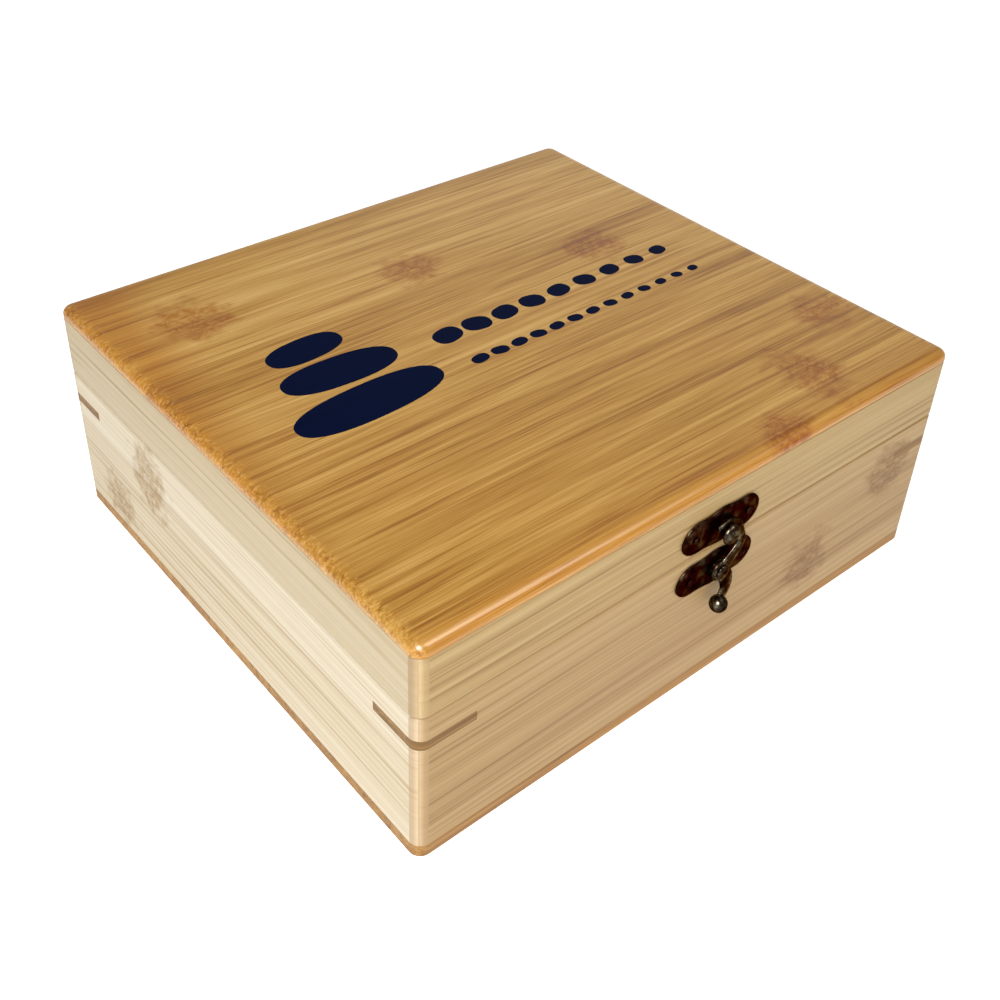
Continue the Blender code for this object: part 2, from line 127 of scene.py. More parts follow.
def past(nodes, coordinate, limit):
    """How far a coordinate is beyond a limit, on either side of the middle."""
    return worked_out(nodes, "SUBTRACT", worked_out(nodes, "ABSOLUTE", coordinate), limit)


def knuckle_stain(nodes, place, along, across, knuckles):
    """Ragged marks where canes had their knuckles: 1 - sqrt(u^2 + v^2) about each centre, torn by noise.

    u and v are the distances along and across the grain, in units of the mark's reach each way.
    """
    mark = None
    for centre_along, centre_across, half_across in knuckles:
        from_centre = worked_out(nodes, "SUBTRACT", along, centre_along)
        u = worked_out(nodes, "MULTIPLY", from_centre, 1 / knuckle_reach)
        off_centre = worked_out(nodes, "SUBTRACT", across, centre_across + grain_sway / 2)
        v = worked_out(nodes, "MULTIPLY", off_centre, 1 / (1.3 * half_across))
        squares = worked_out(nodes, "ADD", worked_out(nodes, "POWER", u, 2.0),
                             worked_out(nodes, "POWER", v, 2.0))
        near = worked_out(nodes, "SUBTRACT", 1.0, worked_out(nodes, "SQRT", squares))
        mark = near if mark is None else worked_out(nodes, "MAXIMUM", mark, near)
    tears = grain(nodes, place, (110.0, 190.0, 190.0), 2.0)
    ragged = worked_out(nodes, "MULTIPLY_ADD", tears, 1.5, worked_out(nodes, "SUBTRACT", mark, 0.75))
    mottle = grain(nodes, place, (330.0, 420.0, 420.0), 4.0, 0.7, 0.6)
    torn = mask(nodes, ragged, 0.0, 0.50)
    return worked_out(nodes, "MULTIPLY", torn, mask(nodes, mottle, 0.38, 0.60, 0.35))


def corner_wear_and_painted_light(nodes, axes, colour, arc_wear_and_painted_light_tones):
    """The colour of the round upright corners from their edges to their middle, in the arc tones: painted
    shade, and along the middle a lighter line that is partly wear and partly a painted highlight.
    """
    past_x = past(nodes, axes["X"], half_width - corner_radius)
    past_y = past(nodes, axes["Y"], half_depth - corner_radius)
    arc = worked_out(nodes, "MULTIPLY", worked_out(nodes, "MINIMUM", past_x, past_y),
                     math.sqrt(2) / corner_radius)
    wear_and_painted_light_tone = ramp(nodes, arc, (0.0, arc_wear_and_painted_light_tones[0]), (0.55, arc_wear_and_painted_light_tones[1]), (0.90, arc_wear_and_painted_light_tones[2]))
    return mixed(nodes, "MIX", mask(nodes, arc, 0.0, 0.15, 0.0, 0.75), colour, wear_and_painted_light_tone)


def varnish_and_painted_shade(nodes, place, axes, bands, colour, varnish_and_shade_tint, end_grain):
    """The colour with varnish and painted shade along the left and front edges, and cut fibres at both ends.

    The varnish and painted shade reach further in from the left edge towards the back than towards the front.
    """
    # painted shade with the pooled varnish: only the left and front edges are deepened
    from_left = worked_out(nodes, "MULTIPLY_ADD", axes["Y"], 0.15,
                           worked_out(nodes, "SUBTRACT", varnish_and_shade_left - half_width, axes["X"]))
    from_front = worked_out(nodes, "MULTIPLY_ADD", axes["Y"], -1.0, varnish_and_shade_front - half_depth)
    pooled_and_shaded = worked_out(nodes, "MULTIPLY", worked_out(nodes, "MAXIMUM", from_left, from_front), 60.0)
    patchy = worked_out(nodes, "MULTIPLY", pooled_and_shaded, worked_out(nodes, "ADD", bands, 0.45))
    colour = mixed(nodes, "MULTIPLY", mask(nodes, patchy, 0.0, 1.0), colour, varnish_and_shade_tint)
    past_end = worked_out(nodes, "MULTIPLY", past(nodes, axes["X"], half_width - end_grain_depth), 250.0)
    cut_fibres = mask(nodes, grain(nodes, place, (700.0, 1100.0, 1100.0), 2.0, 0.7), 0.50, 0.64, 0.0, 0.45)
    speckle = worked_out(nodes, "MULTIPLY", cut_fibres, mask(nodes, past_end, 0.0, 1.0))
    return mixed(nodes, "MIX", speckle, colour, end_grain)


def bamboo(name, along, across, strip, tones, knuckles, knuckle_tone, roughness=0.45, coat=0.0, run=1.0,
           thread_tone=None, arc_wear_and_painted_light_tones=None, varnish_and_shade_tint=None):
    """Laminated bamboo: strips side by side, each with fibres along it and a tone of its own.

    along and across are axis letters. tones are four colours from the darkest fibre to the palest.
    Each knuckle is (along, across, half its width) in metres: a mottled brown mark across a strip.
    run is how often a streak breaks off along the grain. thread_tone darkens the darkest fibres.
    The grain is the same through the outer few millimetres, so its lines run straight round a corner.
    """
    made = bpy.data.materials.new(name)
    made.use_nodes = True
    nodes = made.node_tree.nodes
    shader = nodes["Principled BSDF"]
    place = add_node(nodes, "ShaderNodeTexCoord").outputs["Object"]
    axes = add_node(nodes, "ShaderNodeSeparateXYZ", {0: place}).outputs
    third = ({"X", "Y", "Z"} - {along, across}).pop()
    strips = worked_out(nodes, "MULTIPLY_ADD", axes[across], 1 / strip, strip_start)
    number = worked_out(nodes, "FLOOR", strips)
    chance = add_node(nodes, "ShaderNodeTexWhiteNoise", {"W": number}, noise_dimensions="1D").outputs["Value"]
    shifted = worked_out(nodes, "MULTIPLY_ADD", chance, 0.9, axes[along])
    sway = grain(nodes, place, (9.0, 9.0, 9.0), 1.0)
    wander = worked_out(nodes, "MULTIPLY_ADD", sway, grain_sway, axes[across])
    outer = {"X": half_width, "Y": half_depth, "Z": 1.0}[third] - corner_radius - edge_support
    inward = worked_out(nodes, "MINIMUM", worked_out(nodes, "ABSOLUTE", axes[third]), outer)
    lined_up = add_node(nodes, "ShaderNodeCombineXYZ", {0: shifted, 1: wander, 2: inward}).outputs[0]

    bands = grain(nodes, lined_up, (2.2 * run, 170.0, 120.0), 2.0)
    fibres = grain(nodes, lined_up, (4.0 * run, 560.0, 560.0), 3.0, 0.68)
    threads = grain(nodes, lined_up, (11.0 * run, 1900.0, 1900.0), 2.0, 0.6)
    tone = worked_out(nodes, "MULTIPLY_ADD", bands, 0.40, worked_out(nodes, "MULTIPLY", fibres, 0.62))
    tone = worked_out(nodes, "MULTIPLY_ADD", threads, 0.52, tone)
    tone = worked_out(nodes, "MULTIPLY_ADD", chance, 0.14, worked_out(nodes, "SUBTRACT", tone, 0.34))
    colour = ramp(nodes, tone, (0.26, tones[0]), (0.42, tones[1]), (0.56, tones[2]), (0.76, tones[3]))

    dark_thread = worked_out(nodes, "MULTIPLY", mask(nodes, fibres, 0.35, 0.43, 1.0, 0.0), 0.5)
    colour = mixed(nodes, "MULTIPLY", dark_thread, colour, thread_tone or knuckle_tone)
    glue = worked_out(nodes, "PINGPONG", strips, 0.5)
    glue_line = worked_out(nodes, "MULTIPLY", mask(nodes, glue, 0.0, 0.012, 1.0, 0.0), 0.35)
    colour = mixed(nodes, "MULTIPLY", glue_line, colour, knuckle_tone)

    if knuckles:
        stain = knuckle_stain(nodes, place, axes[along], wander, knuckles)
        colour = mixed(nodes, "MULTIPLY", stain, colour, knuckle_tone)
    # painted shade on the round corners, with a lighter middle line that is partly wear and partly a painted
    # highlight
    if arc_wear_and_painted_light_tones:
        colour = corner_wear_and_painted_light(nodes, axes, colour, arc_wear_and_painted_light_tones)
    if varnish_and_shade_tint:
        colour = varnish_and_painted_shade(nodes, place, axes, bands, colour, varnish_and_shade_tint, tones[3])

    nodes.id_data.links.new(colour, shader.inputs["Base Color"])
    worn = worked_out(nodes, "MULTIPLY_ADD", fibres, 0.16, roughness - 0.08)
    nodes.id_data.links.new(worn, shader.inputs["Roughness"])
    shader.inputs["Specular IOR Level"].default_value = 0.25
    shader.inputs["Coat Weight"].default_value = coat
    shader.inputs["Coat Roughness"].default_value = 0.25
    relief = add_node(nodes, "ShaderNodeBump", {"Height": worked_out(nodes, "ADD", fibres, threads),
                                                "Strength": 0.25, "Distance": 0.00008})
    nodes.id_data.links.new(relief.outputs[0], shader.inputs["Normal"])
    return made


def rounded_rectangle(low, high, radii, steps=8):
    """A rectangle with a quarter circle at each corner and a short flat stretch kept beside each arc.

    Counter-clockwise from the corner at low. radii are for the corners at low, right, high and left.
    """
    corners = ((low[0], low[1], 1, 1), (high[0], low[1], -1, 1), (high[0], high[1], -1, -1),
               (low[0], high[1], 1, -1))
    line = []
    for quarter, ((x, y, in_x, in_y), radius) in enumerate(zip(corners, radii)):
        turns = math.pi + quarter * math.pi / 2 + np.linspace(0.0, math.pi / 2, steps)
        arc = np.stack([x + radius * (in_x + np.cos(turns)), y + radius * (in_y + np.sin(turns))], -1)
        arrive = np.array([-math.sin(turns[0]), math.cos(turns[0])])
        leave = np.array([-math.sin(turns[-1]), math.cos(turns[-1])])
        line += [arc[:1] - edge_support * arrive, arc, arc[-1:] + edge_support * leave]
    return np.concatenate(line)


crease = math.radians(40)     # edges that turn more than this stay sharp
weld = 0.000002               # points closer than this are made one


def solid(name, bodies, look, body=None, stands_for=()):
    """A piece made of closed bodies, each an array of rings of points: (rings, points, 3).

    Neighbouring rings are joined by quads, and the first and the last ring are each closed by a face.
    Points that fall together, as at a pole, are made one. Without a body it is a cutter or a blank.
    """
    joined = bmesh.new()
    for rings in bodies:
        count, size = rings.shape[:2]
        index = np.arange(count * size).reshape(count, size)
        beside = np.roll(index, -1, axis=1)
        quads = np.stack([index[:-1], beside[:-1], beside[1:], index[1:]], axis=-1).reshape(-1, 4)
        faces = [*quads.tolist(), index[0].tolist(), index[-1].tolist()]
        mesh = bpy.data.meshes.new(name)
        mesh.from_pydata(rings.reshape(-1, 3).tolist(), [], faces)
        joined.from_mesh(mesh)
        bpy.data.meshes.remove(mesh)
    bmesh.ops.remove_doubles(joined, verts=joined.verts, dist=weld)
    bmesh.ops.recalc_face_normals(joined, faces=joined.faces)
    mesh = bpy.data.meshes.new(name)
    joined.to_mesh(mesh)
    joined.free()
    mesh.shade_smooth()
    mesh.set_sharp_from_angle(angle=crease)
    mesh.materials.append(look)
    piece = bpy.data.objects.new(name, mesh)
    bpy.context.scene.collection.objects.link(piece)
    if body:
        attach(piece, body)
    if stands_for:
        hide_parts(*stands_for)
    return piece


def cut_away(piece, cutters):
    """Cuts other solids out of a piece, and removes them."""
    for cutter in cutters:
        step = piece.modifiers.new("cut", 'BOOLEAN')
        step.solver = 'EXACT'
        step.operation = 'DIFFERENCE'
        step.object = cutter
    bpy.context.view_layer.update()
    cut = bpy.data.meshes.new_from_object(piece.evaluated_get(bpy.context.evaluated_depsgraph_get()))
    piece.modifiers.clear()
    piece.data = cut
    cut.set_sharp_from_angle(angle=crease)
    for cutter in cutters:
        bpy.data.objects.remove(cutter)


def board(name, side, low, high, foot_ease, top_ease, look, body):
    """A mitred board: its eased section carried along the case's outline from mitre to mitre.

    At each station the section runs from the outer outline, round at its ends, to the inner one.
    """
    along, out = (half_width, half_depth) if side in ("front", "back") else (half_depth, half_width)
    turns = np.radians(np.linspace(45.0, 0.0, 7))
    arc_along = along - corner_radius + corner_radius * np.sin(turns)
    arc_out = out - corner_radius + corner_radius * np.cos(turns)
    arc_end = along - corner_radius - edge_support
    straight = np.linspace(arc_end, -arc_end, 20)
    station = np.concatenate([arc_along, straight, -arc_along[::-1]])
    outer = np.stack([station, -np.concatenate([arc_out, np.full(20, out), arc_out[::-1]])], -1)
    inner = np.stack([station * (along - board_thickness) / station[0],
                      np.full(station.shape, board_thickness - out)], -1)
    eases = (foot_ease, inner_ease, inner_ease, top_ease)
    section = rounded_rectangle((0.0, low), (board_thickness, high), eases, 5)
    share = (section[:, 0] / board_thickness)[None, :, None]
    rings = np.empty((len(station), len(section), 3))
    rings[..., :2] = outer[:, None] * (1 - share) + inner[:, None] * share
    rings[..., 0] *= 1 - tight_joint / along
    rings[..., 2] = section[:, 1]
    quarter = ("front", "right", "back", "left").index(side) * math.pi / 2
    in_place = rings.copy()
    in_place[..., 0] = rings[..., 0] * math.cos(quarter) - rings[..., 1] * math.sin(quarter)
    in_place[..., 1] = rings[..., 0] * math.sin(quarter) + rings[..., 1] * math.cos(quarter)
    return solid(name, [in_place], look, body, [name.replace("board", "wall")])


pale_tones = ((0.45, 0.325, 0.165), (0.575, 0.455, 0.280), (0.64, 0.53, 0.36), (0.70, 0.61, 0.455))
# darker, browner copies of the pale tones for the front and right boards: painted shade
painted_shade_tones = ((0.285, 0.155, 0.050), (0.365, 0.222, 0.086), (0.42, 0.268, 0.113), (0.48, 0.330, 0.158))
pale_brown = (0.60, 0.47, 0.30)
# round corner tones from edge to middle: painted shade rising to a line that is partly wear and partly a
# painted highlight
arc_wear_and_painted_light_tones = ((0.40, 0.255, 0.125), (0.45, 0.295, 0.150), (0.62, 0.440, 0.250))
board_knuckles = {
    "front": [(0.050, 0.0215, 0.011), (0.088, 0.0415, 0.010)],
    "right": [(-0.030, 0.0200, 0.011), (0.050, 0.0660, 0.009)],
    "back": [(-0.035, 0.0400, 0.011), (0.020, 0.0150, 0.010), (0.092, 0.066, 0.009)],
    "left": [(0.045, 0.0400, 0.012), (0.072, 0.0150, 0.009)],
}


def tinted(tones, tint):
    """Tones multiplied by a tint."""
    return tuple(tuple(np.multiply(tone, tint).tolist()) for tone in tones)


boards = {}
for part_of, low, high, foot_ease, top_ease, pale_tint, painted_shade_tint in (
    ("base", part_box("base_front_wall")[0].z - board_overlap, seam - seam_opening / 2, 0.0002, seam_ease,
     (1.0, 1.03, 1.10), (0.97, 0.97, 0.97)),
    ("lid", seam + seam_opening / 2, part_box("lid_front_wall")[1].z + board_overlap, seam_ease, 0.0004,
     (0.80, 0.77, 0.71), (1.0, 1.04, 0.98)),
):
    for side, marks in board_knuckles.items():
        # left and back boards keep the pale tones; the front and right boards get darker, browner ones as
        # painted shade
        pale = side in ("left", "back")
        tones, tint = (pale_tones, pale_tint) if pale else (painted_shade_tones, painted_shade_tint)
        look = bamboo(
            f"bamboo_{part_of}_{side}", "X" if side in ("front", "back") else "Y", "Z", wall_strip,
            tinted(tones, tint), marks, pale_brown, arc_wear_and_painted_light_tones=tinted(arc_wear_and_painted_light_tones, tint),
        )
        boards[part_of, side] = board(
            f"{part_of}_{side}_board", side, low, high, foot_ease, top_ease, look, part_of,
        )

# ---- Corner keys ----------------------------------------------------------------------------------------
# Flat slips of dark steamed bamboo, glued into saw cuts across each upright corner of the base and
# planed flush with the boards.

dark_tones = ((0.130, 0.058, 0.013), (0.205, 0.100, 0.025), (0.265, 0.140, 0.038), (0.35, 0.195, 0.060))
key_look = bamboo("bamboo_key", "X", "Z", strip=0.0300, tones=dark_tones, knuckles=[],
                  knuckle_tone=(0.30, 0.20, 0.12), roughness=0.5)
key_low, key_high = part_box("corner_key_front_left")
key_leg = key_high.x - key_low.x
saw_clearance = 0.00004


def key_rings(sign_x, sign_y, outline, low, high):
    """A flat outline given from the case's corner inwards, mirrored into its own corner, at two heights."""
    points = np.array(outline)
    flat = np.stack([sign_x * (half_width - points[:, 0]), sign_y * (half_depth - points[:, 1])], -1)
    rings = np.empty((2, len(flat), 3))
    rings[..., :2] = flat
    rings[0, :, 2], rings[1, :, 2] = low, high
    return rings


for corner, sign_x, sign_y in (
    ("front_left", -1, -1), ("front_right", 1, -1), ("back_right", 1, 1), ("back_left", -1, 1),
):
    reach = key_leg + saw_clearance
    beyond = 0.001
    slot_outline = [(reach, 0.0), (reach, -beyond), (-beyond, -beyond), (-beyond, reach), (0.0, reach)]
    for side in corner.split("_"):
        room = key_rings(sign_x, sign_y, slot_outline, key_low.z - saw_clearance, key_high.z + saw_clearance)
        cut_away(boards["base", side], [solid(f"saw_cut_{side}", [room], key_look)])
    turns = np.linspace(0.0, math.pi / 2, 9)
    arc = corner_radius * (1 - np.stack([np.sin(turns), np.cos(turns)], -1))
    key_outline = [(key_leg, 0.0), *arc.tolist(), (0.0, key_leg)]
    solid(f"corner_slip_{corner}", [key_rings(sign_x, sign_y, key_outline, key_low.z, key_high.z)], key_look,
          "base", [f"corner_key_{corner}"])

# ---- Bottom panel ---------------------------------------------------------------------------------------
# A thin panel of dark steamed bamboo under the base boards, glued on and sanded flush with them.


def panel(name, low, high, foot_ease, top_ease, look, body, stands_for):
    """A flat panel with round corners: its outline is drawn in along a quarter ellipse at each edge.

    An ease is (how far in, how far down). The corner's radius shrinks as the outline is drawn in.
    """
    edge_stretch = 0.0002
    t = np.linspace(0.0, math.pi / 2, 9)
    foot = np.stack([foot_ease[0] * (1 - np.sin(t)), low + foot_ease[1] * (1 - np.cos(t))], -1)
    upper = np.stack([top_ease[0] * (1 - np.cos(t)), high - top_ease[1] * (1 - np.sin(t))], -1)
    edge = [(foot_ease[0] + edge_support, low), *foot, (0.0, low + foot_ease[1] + edge_stretch),
            (0.0, high - top_ease[1] - edge_stretch), *upper, (top_ease[0] + edge_support, high)]
    rings = []
    for inset, height in edge:
        corner = np.array([half_width - inset, half_depth - inset])
        flat = rounded_rectangle(-corner, corner, (max(corner_radius - inset, 0.0008),) * 4)
        rings.append(np.column_stack([flat, np.full(len(flat), height)]))
    return solid(name, [np.array(rings)], look, body, stands_for)


bottom_look = bamboo("bamboo_bottom", "X", "Y", strip=0.0250, tones=tinted(dark_tones, (1.5, 1.5, 1.45)),
                     knuckles=[], knuckle_tone=(0.40, 0.28, 0.18), roughness=0.5)
glue_thickness = 0.00025
panel("bottom_panel", 0.0, case_high.z + glue_thickness, foot_ease=(0.0005, 0.0005),
      top_ease=(0.0001, 0.0001), look=bottom_look, body="base",
      stands_for=["base_bottom_panel"])

# ---- Top panel ------------------------------------------------------------------------------------------
# A panel of carbonised bamboo strips with a clear gloss varnish, glued on the lid's boards.
# Its upper edge is rounded over, and at its ends the cut fibres show as a speckle.

top_low, top_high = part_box("lid_top_panel")
amber_tones = ((0.355, 0.154, 0.007), (0.50, 0.244, 0.033), (0.615, 0.335, 0.068), (0.77, 0.475, 0.144))
amber_brown = (0.66, 0.41, 0.02)
top_knuckles = [(-0.079, 0.0625, 0.012), (-0.002, 0.0480, 0.009), (0.063, 0.0230, 0.010),
                (0.095, -0.0580, 0.009), (0.062, -0.0800, 0.013), (0.031, -0.0950, 0.007)]
# The top's left and front edges are deeper amber: pooled varnish with painted shade, which the right and back
# edges don't get.
top_look = bamboo("bamboo_top", "X", "Y", strip=0.0249, tones=amber_tones, knuckles=top_knuckles,
                  knuckle_tone=amber_brown, roughness=0.34, coat=0.40, run=3.0,
                  thread_tone=(0.70, 0.46, 0.09), varnish_and_shade_tint=(0.83, 0.63, 0.23))
panel_face = top_high.z - 0.00004             # the print stands on it, up to the case's full height
panel("top_panel", top_low.z - 0.00005, panel_face, foot_ease=(0.0006, 0.0005), top_ease=(0.0040, 0.0029),
      look=top_look, body="lid", stands_for=["lid_top_panel"])

# ---- Printed ornament -----------------------------------------------------------------------------------
# A plain ornament in navy ink on the varnish: a stack of three pebbles and two rows of graded pebbles.

print_low = panel_face - 0.00002
print_high = top_high.z
ink = bpy.data.materials.new("navy_ink")
ink.use_nodes = True
ink_nodes = ink.node_tree.nodes
ink_place = add_node(ink_nodes, "ShaderNodeTexCoord").outputs["Object"]
ink_grain = grain(ink_nodes, ink_place, (12.0, 900.0, 900.0), 3.0)
ink_colour = ramp(ink_nodes, ink_grain, (0.3, (0.0003, 0.0032, 0.0230)), (0.7, (0.0006, 0.0048, 0.0330)))
ink_shader = ink_nodes["Principled BSDF"]
ink.node_tree.links.new(ink_colour, ink_shader.inputs["Base Color"])
ink_roughness = worked_out(ink_nodes, "MULTIPLY_ADD", ink_grain, 0.2, 0.35)
ink.node_tree.links.new(ink_roughness, ink_shader.inputs["Roughness"])
ink_shader.inputs["Specular IOR Level"].default_value = 0.02


def pebble_mark(x, y, half_length, half_height, lean):
    """Rings of one flat printed pebble, its outline |u| ** 2.4 + |v| ** 2.4 = 1, leaning a little."""
    turns = np.linspace(0.0, 2 * math.pi, 48, endpoint=False)
    u = half_length * np.sign(np.cos(turns)) * np.abs(np.cos(turns)) ** (2 / 2.4)
    v = half_height * np.sign(np.sin(turns)) * np.abs(np.sin(turns)) ** (2 / 2.4)
    across, up = u * math.cos(lean) - v * math.sin(lean), u * math.sin(lean) + v * math.cos(lean)
    return np.stack([np.column_stack([x + across, y + up, np.full(48, height)])
                     for height in (print_low, print_high)])


marks = [(-0.0590, -0.0085, 0.0270, 0.0088, 0.03), (-0.0575, 0.0105, 0.0205, 0.0078, -0.05),
         (-0.0600, 0.0270, 0.0140, 0.0064, 0.06)]
row_start = -0.0180
for count, pitch, y, half_length, shorter, half_height, lower, lean in (
    (9, 0.0122, 0.0065, 0.0056, 0.00026, 0.0042, 0.00018, 0.2),
    (13, 0.0082, -0.0105, 0.0034, 0.00010, 0.0022, 0.00005, 0.15),
):
    marks += [(row_start + pitch * i, y, half_length - shorter * i, half_height - lower * i, lean * (-1) ** i)
              for i in range(count)]
solid("printed_pebbles", [pebble_mark(*mark) for mark in marks], ink, "lid")

# ---- Latch ----------------------------------------------------------------------------------------------
# Stamped plates, a knob, a rivet and a cast hook in antique bronze plating, nailed to the front boards.
# The plating is nearly black, with reddish patches and patches worn to a warm grey-green.


def bronze(name, dark, warm, bright, shine):
    """Antique plating: dark and reddish patches, brighter patches where it is worn, dull seen along it."""
    made = bpy.data.materials.new(name)
    made.use_nodes = True
    nodes = made.node_tree.nodes
    shader = nodes["Principled BSDF"]
    place = add_node(nodes, "ShaderNodeTexCoord").outputs["Object"]
    patches = grain(nodes, place, (260.0, 260.0, 260.0), 3.0, 0.6)
    specks = grain(nodes, place, (1500.0, 1500.0, 1500.0), 2.0, 0.6)
    colour = ramp(nodes, patches, (0.35, dark), (0.52, warm), (0.70, bright))
    nodes.id_data.links.new(colour, shader.inputs["Base Color"])
    worn = worked_out(nodes, "MULTIPLY_ADD", specks, 0.28, shine)
    nodes.id_data.links.new(worn, shader.inputs["Roughness"])
    shader.inputs["Metallic"].default_value = 1.0
    shader.inputs["Specular Tint"].default_value = (0.50, 0.42, 0.36, 1.0)
    relief = add_node(nodes, "ShaderNodeBump", {"Height": specks, "Strength": 0.3, "Distance": 0.00004})
    nodes.id_data.links.new(relief.outputs[0], shader.inputs["Normal"])
    return made


plate_look = bronze("stamped_bronze", (0.003, 0.002, 0.0015), (0.018, 0.0045, 0.003),
                    (0.055, 0.040, 0.026), 0.18)
cast_look = bronze("cast_bronze", (0.006, 0.004, 0.003), (0.036, 0.024, 0.015), (0.200, 0.185, 0.130), 0.12)
front_face = -half_depth
plate_low, plate_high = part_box("latch_lid_plate")
plate_half_length = plate_high.x
plate_middle, plate_waist = 0.0066, 0.0058    # half a plate's height, at its middle lobe and at a waist
waist_from_tip = 0.0100
plate_pitch = 2 * (plate_half_length - waist_from_tip)
nail_dome, nail_radius, nail_depth, nail_point = 0.00045, 0.0006, 0.0058, 0.0004
knob_post, rivet_post = 0.0015, 0.0012
shank_radius, shank_depth = 0.0012, 0.0080    # of the knob and the rivet, into the boards


def stamped_plate(name, z, body, stands_for):
    """A lobed plate: half height (mean + swell cos(2 pi x / pitch)) sqrt(1 - (x / half length) ^ 4).

    Its face is domed: it stands out by its thickness times (1 - |v| ^ 5) ^ 0.3, v from edge to edge,
    and times (1 - |x / half length| ^ 9) ^ 0.3.
    """
    x = -plate_half_length * np.cos(np.linspace(0.0, math.pi, 73))
    mean, swell = (plate_middle + plate_waist) / 2, (plate_middle - plate_waist) / 2
    half = (mean + swell * np.cos(2 * math.pi * x / plate_pitch)) * np.sqrt(
        np.maximum(1 - (x / plate_half_length) ** 4, 0.0))
    v = np.sin(np.linspace(-math.pi / 2, math.pi / 2, 25))
    rise = np.maximum(1 - np.abs(v) ** 5, 0.0) ** 0.3
    thin = np.maximum(1 - np.abs(x / plate_half_length) ** 9, 0.0)[:, None] ** 0.3
    back, out = plate_high.y, plate_high.y - plate_low.y
    face = np.stack(np.broadcast_arrays(x[:, None], back - out * rise * thin, z + half[:, None] * v), -1)
    flat = np.stack(np.broadcast_arrays(x[:, None], back, z + half[:, None] * v[::-1]), -1)[:, 1:-1]
    return solid(name, [np.concatenate([face, flat], axis=1)], plate_look, body, stands_for)


def turned(profile, x, z, steps, face=front_face, outwards=-1):
    """Rings of a turned body on an axis out of a face: (radius, distance out) from its crown inwards."""
    turns = np.linspace(0.0, 2 * math.pi, steps, endpoint=False)
    radius, out = np.array(profile).T[:, :, None]
    return np.stack([x + radius * np.cos(turns), face + outwards * out * np.ones(steps),
                     z + radius * np.sin(turns)], -1)


def domed(radius, under, crown, steps=12):
    """Profile of a domed head: a quarter ellipse from its crown out to its rim."""
    t = np.linspace(0.0, math.pi / 2, steps)
    return np.stack([radius * np.sin(t), under + (crown - under) * np.cos(t)], -1).tolist()


def nail_profile(low, high, crown, shank_top):
    """Profile of a round-headed nail: its domed head, its shank down into the board, and its point."""
    return [*domed((high.x - low.x) / 2, crown - nail_dome, crown), (nail_radius, shank_top),
            (nail_radius, -nail_depth), (0.0, -nail_depth - nail_point)]


lid_plate_z = (plate_low.z + plate_high.z) / 2
base_plate_z = sum(corner.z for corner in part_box("latch_base_plate")) / 2
stamped_plate("lid_plate", lid_plate_z, "lid", ["latch_lid_plate"])
stamped_plate("base_plate", base_plate_z, "base", ["latch_base_plate"])

for part_of, z in (("lid", lid_plate_z), ("base", base_plate_z)):
    for hand in ("left", "right"):
        low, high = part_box(f"latch_nail_{part_of}_{hand}")
        profile = nail_profile(low, high, front_face - low.y, 0.0010)
        solid(f"latch_pin_{part_of}_{hand}", [turned(profile, (low.x + high.x) / 2, z, 28)], plate_look,
              part_of, [f"latch_nail_{part_of}_{hand}"])

for name, body, head, post, radius in (
    ("latch_knob", "lid", 0.0018, knob_post, 0.0034), ("latch_rivet", "base", 0.0008, rivet_post, 0.0025),
):
    low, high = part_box(name)
    crown = front_face - low.y
    rim = crown - head
    profile = [*domed(radius, rim, crown, 16), (radius * 0.92, rim - 0.0003), (post, rim - 0.0004),
               (post, 0.0014), (shank_radius, 0.0013), (shank_radius, -shank_depth), (0.0, -shank_depth)]
    solid(name.replace("latch", "turned"), [turned(profile, 0.0, (low.z + high.z) / 2, 40)], cast_look, body,
          [name])

knob_z = sum(corner.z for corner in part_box("latch_knob")) / 2
knob_above_pivot = knob_z - base_plate_z
hook_stand_off = 0.0029       # from the boards to the middle of the hook's thickness
hook_middle = front_face - hook_stand_off
hook_thickness = 0.0014
hook_clearance = 0.0005       # between the knob's post and the hook
curl_half, arm_half = 0.0013, 0.0022
ball_radius, ball_stand_off = 0.0029, 0.0042


def smooth(points, steps):
    """Points on a Catmull-Rom curve through the given ones, as one array."""
    points = np.array(points)
    before, start = np.vstack([points[:1], points[:-2]]), points[:-1]
    end, after = points[1:], np.vstack([points[2:], points[-1:]])
    t = np.linspace(0.0, 1.0, steps, endpoint=False)[None, :, None]
    b, s, e, a = (part[:, None] for part in (before, start, end, after))
    line = 0.5 * (2 * s + (e - b) * t + (2 * b - 5 * s + 4 * e - a) * t ** 2
                  + (3 * s - b - 3 * e + a) * t ** 3)
    return np.vstack([line.reshape(-1, points.shape[1]), points[-1:]])


def hook_band(route):
    """Rings of a band about a route of (x, z, half width): a rounded section, drawn in at both ends."""
    line = smooth(route, 8)
    heading = np.gradient(line[:, :2], axis=0)
    heading /= np.linalg.norm(heading, axis=1, keepdims=True)
    turns = np.linspace(0.0, 2 * math.pi, 24, endpoint=False)
    wide = np.sign(np.cos(turns)) * np.abs(np.cos(turns)) ** 0.8
    deep = np.sign(np.sin(turns)) * np.abs(np.sin(turns)) ** 0.6
    ends = []
    for place, way in ((0, -1), (-1, 1)):
        steps = np.linspace(0.0, math.pi / 2, 6)[1:] if way > 0 else np.linspace(math.pi / 2, 0.0, 6)[:-1]
        reach = line[place, 2] * np.sin(steps)
        ends.append(np.column_stack([
            line[place, :2] + way * reach[:, None] * heading[place], line[place, 2] * np.cos(steps),
            np.tile(heading[place], (5, 1)), np.cos(steps),
        ]))
    body = np.column_stack([line, heading, np.ones(len(line))])
    stations = np.vstack([ends[0], body, ends[1]])
    x, z, half, along_x, along_z, depth = stations.T[:, :, None]
    out = hook_thickness / 2 * deep * (0.35 + 0.65 * depth) * (depth > 0.001)
    return np.stack([x - along_z * half * wide, hook_middle - out,
                     base_plate_z + z + along_x * half * wide], -1)


